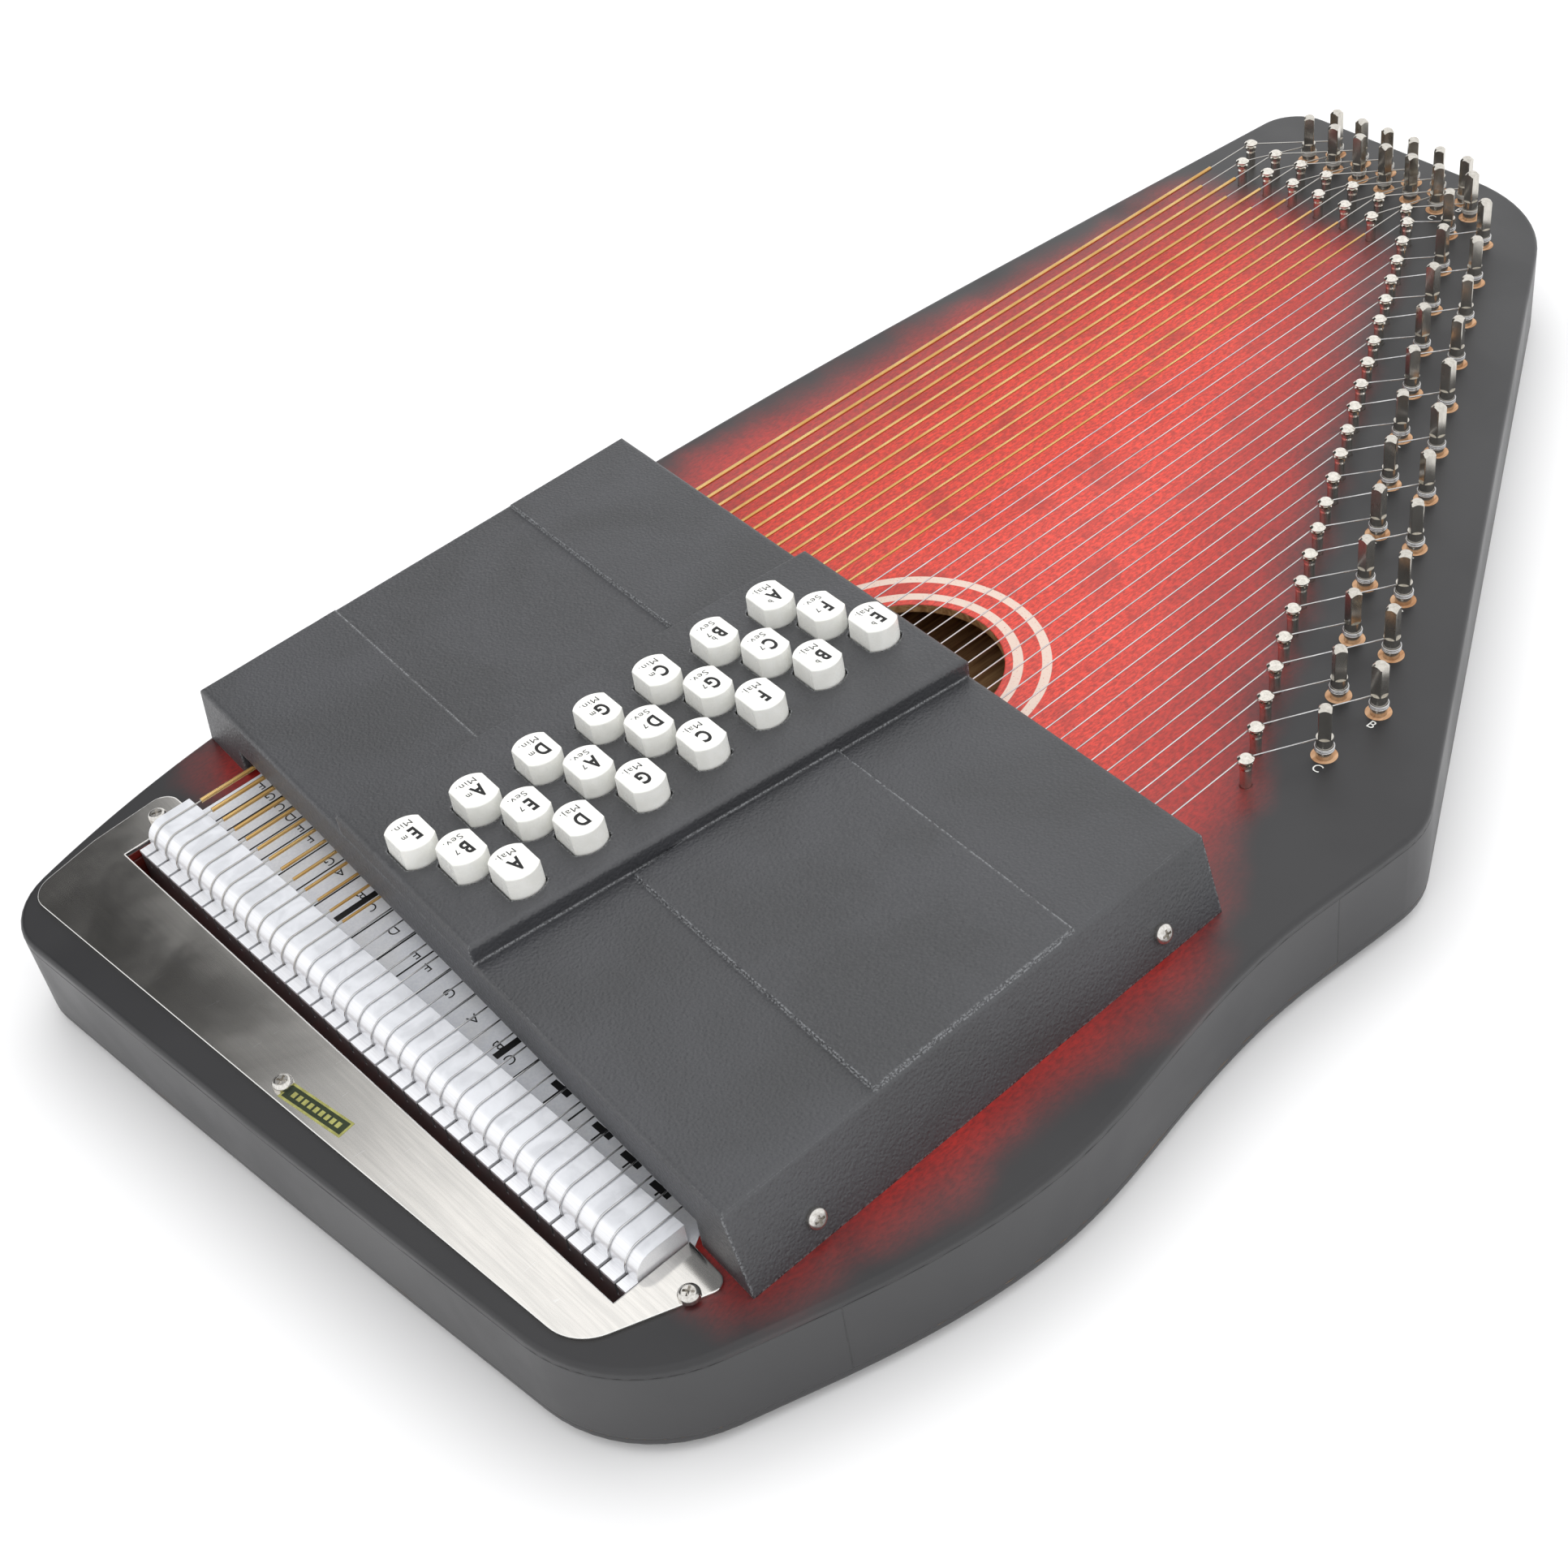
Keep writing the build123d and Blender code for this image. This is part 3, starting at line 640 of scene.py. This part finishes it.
for (x, note), (after, _) in zip(naturals, naturals[1:]):
    middle = (x + after) / 2
    half = 1.15 if note == 11 else 0.3
    front = chart_front(middle) + (1.6 if note == 11 else 0.6)
    if middle > 104:
        continue
    left, right = middle - half, middle + half
    add_patch(bm, [(left, front), (right, front), (right, 39), (left, 39)], CHART_Z)
for x, note in naturals:
    if x < 36:
        y = 23.4 - 0.1 * (x + 38)
        add_text(bm, NATURALS[note], 3.3, (x + 0.6, y, CHART_Z), (0, -1, 0), (1, 0, 0), 0.0, 0.9)
for x, note in naturals:
    if 44 < x < 100 and note not in (4, 11):
        cut = 18.4 - 0.075 * (x - 44)
        left, right = x + 2.6, x + 9.6
        add_patch(bm, [(left, cut), (right, cut), (right, cut + 2.0), (left, cut + 2.0)],
                  CHART_Z + 0.01)
piece("chart_print", bm, black_ink, "zither")


def sticker_material():
    look = Look("sticker_green_foil", Metallic=0.45)
    spin = look.node("ShaderNodeMapping", look.mm, vector_type="TEXTURE")
    spin.inputs["Location"].default_value = STICKER_CORNER
    spin.inputs["Rotation"].default_value = (0, 0, STICKER_TURN)
    u, v, _ = look.node("ShaderNodeSeparateXYZ", spin.outputs[0]).outputs
    frame_line = look.math("SUBTRACT", 1, look.math(
        "MULTIPLY", look.between(u, 0.7, 23.9, 0.06), look.between(v, -2.1, 2.1, 0.06)))
    blocks = look.math("GREATER_THAN", look.math("FRACT", look.math("DIVIDE", u, 2.2)), 0.35)
    band = look.math("MULTIPLY", look.between(v, -0.9, 0.9, 0.06), look.between(u, 2.2, 22.2, 0.06))
    print_marks = look.math("MULTIPLY", blocks, band)
    mark = look.math("MAXIMUM", frame_line, print_marks)
    foil = look.noise(0.5, 4)
    green = look.mix(look.ramp(foil, 0.3, 0.7), srgb(52, 62, 40), srgb(38, 48, 32))
    gold = look.mix(look.ramp(foil, 0.3, 0.7), srgb(176, 176, 104), srgb(148, 146, 84))
    look.colour(look.mix(mark, green, gold)).rough(foil, 0.3, 0.45).bump(mark, 0.02)
    return look.material


bm = bmesh.new()
turn = Matrix.Rotation(STICKER_TURN, 3, "Z")
outline = [(0, -2.8), (24.6, -2.8), (24.6, 2.8), (0, 2.8)]
corners = [(turn @ Vector((u, v, 0))) + Vector(STICKER_CORNER) for u, v in outline]
base_z = board(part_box("tail_plate")[1]).z
top = [bm.verts.new(at(c.x, c.y, base_z + 0.08)) for c in corners]
foot = [bm.verts.new(at(c.x, c.y, base_z + 0.01)) for c in corners]
bm.faces.new(top)
for i in range(4):
    bm.faces.new((foot[i], foot[(i + 1) % 4], top[(i + 1) % 4], top[i]))
top_edges = [e for e in bm.edges if all(v in top for v in e.verts)]
bmesh.ops.bevel(bm, geom=top_edges, offset=0.00003, segments=1)
piece("tail_sticker", bm, sticker_material(), "zither")


def add_coil(bm, x, y, z0, z1, radius, wire, turns, around=18, sides=6):
    """A compression spring with closed end turns, standing along Z."""
    total = turns * around
    loops = []
    for i in range(total + 1):
        t = i / total
        angle = 2 * math.pi * turns * t
        ease = min(max((t - 1.5 / turns / 2) / (1 - 1.5 / turns), 0), 1)
        z = z0 + wire + (z1 - z0 - 2 * wire) * ease
        out = Vector((math.cos(angle), math.sin(angle), 0))
        loop = []
        for s in range(sides):
            a = 2 * math.pi * s / sides
            rise = Vector((0, 0, wire * math.sin(a)))
            point = Vector((x, y, z)) + out * (radius + wire * math.cos(a)) + rise
            loop.append(bm.verts.new(at(*point)))
        loops.append(loop)
    for a, b in zip(loops, loops[1:]):
        for s in range(sides):
            bm.faces.new((a[s], b[s], b[(s + 1) % sides], a[(s + 1) % sides]))
    bm.faces.new(loops[0])
    bm.faces.new(list(reversed(loops[-1])))


spring_low, spring_high = (board(corner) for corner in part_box("bar_springs"))
for chord in chords:
    low, high = (board(corner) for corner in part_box("chord_bar_" + chord))
    bm = bmesh.new()
    for x in (spring_low.x + 2.15, spring_high.x - 2.15):
        y = (low.y + high.y) / 2 - 0.08 * (x - (low.x + high.x) / 2)
        add_coil(bm, x, y, spring_low.z, spring_high.z, 1.9, 0.25, 8)
    made = piece("spring_" + chord, bm, spring_steel.material, "zither")
    for face in made.data.polygons:
        face.use_smooth = True
    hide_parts("bar_springs")
    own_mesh(made)


# ---- studio --------------------------------------------------------------------------

def studio_floor():
    bm = bmesh.new()
    bmesh.ops.create_grid(bm, x_segments=8, y_segments=8, size=5.0)
    mesh = bpy.data.meshes.new("studio_floor")
    bm.to_mesh(mesh)
    bm.free()
    floor = bpy.data.objects.new("studio_floor", mesh)
    floor.location = (0, 0, -0.0002)
    bpy.context.scene.collection.objects.link(floor)
    material = bpy.data.materials.new("studio_white")
    material.use_nodes = True
    shader = material.node_tree.nodes["Principled BSDF"]
    shader.inputs["Base Color"].default_value = (0.92, 0.92, 0.925, 1)
    shader.inputs["Roughness"].default_value = 0.9
    shader.inputs["Specular IOR Level"].default_value = 0.0
    mesh.materials.append(material)


def studio_world():
    """White all round, with one soft dark patch and a bright strip beside it for polished metal."""
    world = bpy.data.worlds.new("studio")
    bpy.context.scene.world = world
    world.use_nodes = True
    tree = world.node_tree
    tree.nodes.clear()
    ahead = tree.nodes.new("ShaderNodeTexCoord").outputs["Generated"]

    def ramp(value, low, high, start=0.0, end=1.0):
        made = tree.nodes.new("ShaderNodeMapRange")
        made.interpolation_type = "SMOOTHSTEP"
        for socket, number in zip(made.inputs[1:5], (low, high, start, end)):
            socket.default_value = number
        tree.links.new(value, made.inputs[0])
        return made.outputs[0]

    def join(operation, a, b):
        made = tree.nodes.new("ShaderNodeMath")
        made.operation = operation
        tree.links.new(a, made.inputs[0])
        tree.links.new(b, made.inputs[1])
        return made.outputs[0]

    def along(direction):
        made = tree.nodes.new("ShaderNodeVectorMath")
        made.operation = "DOT_PRODUCT"
        made.inputs[1].default_value = direction
        tree.links.new(ahead, made.inputs[0])
        return made.outputs["Value"]

    azimuth, height = math.radians(176), math.radians(27)
    dark_way = (math.cos(azimuth) * math.cos(height), math.sin(azimuth) * math.cos(height),
                math.sin(height))
    edge, core = math.cos(math.radians(27)), math.cos(math.radians(18.5))
    patch = ramp(along(dark_way), edge, core, 1.5, 0.07)
    strip = join("MULTIPLY", ramp(along((0.283, 1, 0)), 0.008, 0.022),
                 ramp(along((0, 0, 1)), 0.685, 0.665))
    back = tree.nodes.new("ShaderNodeBackground")
    out = tree.nodes.new("ShaderNodeOutputWorld")
    tree.links.new(join("MAXIMUM", patch, strip), back.inputs["Strength"])
    tree.links.new(back.outputs[0], out.inputs[0])


def softbox(name, place, aim, size, power):
    data = bpy.data.lights.new(name, "AREA")
    data.shape = "RECTANGLE"
    data.size, data.size_y = size
    data.energy = power
    lamp = bpy.data.objects.new(name, data)
    lamp.location = place
    lamp.rotation_euler = (Vector(aim) - Vector(place)).to_track_quat("-Z", "Y").to_euler()
    bpy.context.scene.collection.objects.link(lamp)
    lamp.visible_glossy = False


def camera():
    data = bpy.data.cameras.new("view")
    data.lens = 54.40
    data.sensor_width = 36.0
    data.clip_end = 50
    lens = bpy.data.objects.new("view", data)
    roll = math.radians(10.09)
    ahead = Vector((-0.60850, 0.42926, -0.66743)).normalized()
    level = ahead.cross(Vector((0, 0, 1))).normalized()
    above = level.cross(ahead)
    right = level * math.cos(roll) - above * math.sin(roll)
    up = level * math.sin(roll) + above * math.cos(roll)
    turn = Matrix((right, up, -ahead)).transposed().to_4x4()
    lens.matrix_world = Matrix.Translation((0.4191, -0.3994, 0.4908)) @ turn
    bpy.context.scene.collection.objects.link(lens)
    bpy.context.scene.camera = lens


studio_floor()
studio_world()
softbox("key", (-0.9, 0.5, 1.7), (0, 0.05, 0), (1.6, 1.6), 10)
softbox("fill", (0.9, 1.1, 1.5), (0, 0.1, 0), (1.2, 1.2), 4)
camera()
bpy.context.scene.view_settings.view_transform = "Standard"
